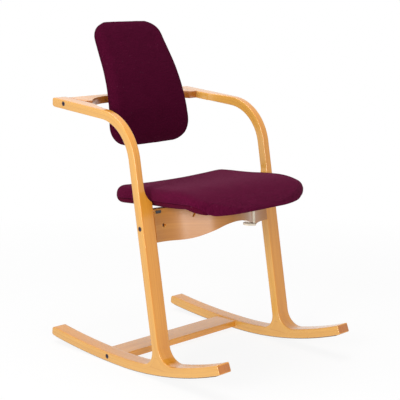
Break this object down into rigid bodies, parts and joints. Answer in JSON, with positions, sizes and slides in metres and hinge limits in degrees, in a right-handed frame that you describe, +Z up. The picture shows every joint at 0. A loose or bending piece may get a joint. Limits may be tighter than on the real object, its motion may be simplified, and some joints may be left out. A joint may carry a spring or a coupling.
{
  "type": "rocking task chair",
  "caption": "Rocking task chair: bent laminated wood side frames on curved runners, padded seat that slides, padded backrest on a height slide.",
  "frame": {"origin": "on the floor, midway between the side frames and between the front and rear ends of the runners", "axes": "+Z up, the sitter faces -Y, +X is the sitter's left"},
  "size_m": [0.53, 0.7099, 0.9472],
  "materials": {
    "wood_side": "clear lacquer, satin",
    "wood_cross": "clear lacquer, satin",
    "wood_hidden": "raw plywood",
    "felt": "rough felt",
    "seat_fabric": "woven wool",
    "back_fabric": "woven wool",
    "bolt": "black zinc",
    "steel": "zinc plated",
    "dark_steel": "black powder coat",
    "lever_plastic": "matt moulded",
    "nylon": "matt moulded"
  },
  "bodies": {
    "frame": {"right_front_lamination": "wood_side", "right_rear_lamination": "wood_side", "right_foot_wedge": "wood_side", "right_sole_lamination": "wood_side", "right_sole_strip": "felt", "left_front_lamination": "wood_side", "left_rear_lamination": "wood_side", "left_foot_wedge": "wood_side", "left_sole_lamination": "wood_side", "left_sole_strip": "felt", "runner_stretcher": "wood_cross", "seat_bearer": "wood_cross", "back_rail": "wood_cross", "frame_bolts": "bolt", "barrel_nuts": "steel", "dowels": "wood_hidden", "lever_bracket": "dark_steel", "lever_pin": "steel", "back_post": "dark_steel", "post_bolts": "bolt", "right_carrier_bar": "steel", "right_bar_bush": "nylon", "left_carrier_bar": "steel", "left_bar_bush": "nylon"},
    "seat": {"seat_cushion": "seat_fabric", "seat_base_cover": "seat_fabric", "seat_board": "wood_hidden", "glide_screws": "steel", "brake_strip": "steel", "right_glide": "nylon", "right_front_glide": "nylon", "left_glide": "nylon", "left_front_glide": "nylon"},
    "lever": {"release_lever": "lever_plastic"},
    "backrest": {"backrest_cushion": "back_fabric", "backrest_rear_cover": "back_fabric", "backrest_board": "wood_hidden", "mount_block": "wood_hidden", "backrest_guide": "dark_steel", "guide_screws": "steel"},
    "knob": {"clamp_knob": "nylon"}
  },
  "joints": [
    {"name": "seat_depth", "type": "slide", "parent": "frame", "child": "seat", "axis": [0, -0.9981, 0.061], "range_m": [0, 0.025]},
    {"name": "lever_swing", "type": "hinge", "parent": "frame", "child": "lever", "pos_m": [0.014, -0.20789, 0.45344], "axis": [0, -0.9981, 0.061], "range_deg": [0, 20], "stiffness_Nm_per_rad": 0.3},
    {"name": "backrest_height", "type": "slide", "parent": "frame", "child": "backrest", "axis": [0, 0.2326, 0.9726], "range_m": [0, 0.04]},
    {"name": "knob_turn", "type": "hinge", "parent": "backrest", "child": "knob", "pos_m": [0, 0.24954, 0.63324], "axis": [0, 0.9726, -0.2326], "range_deg": [0, 300]}
  ]
}
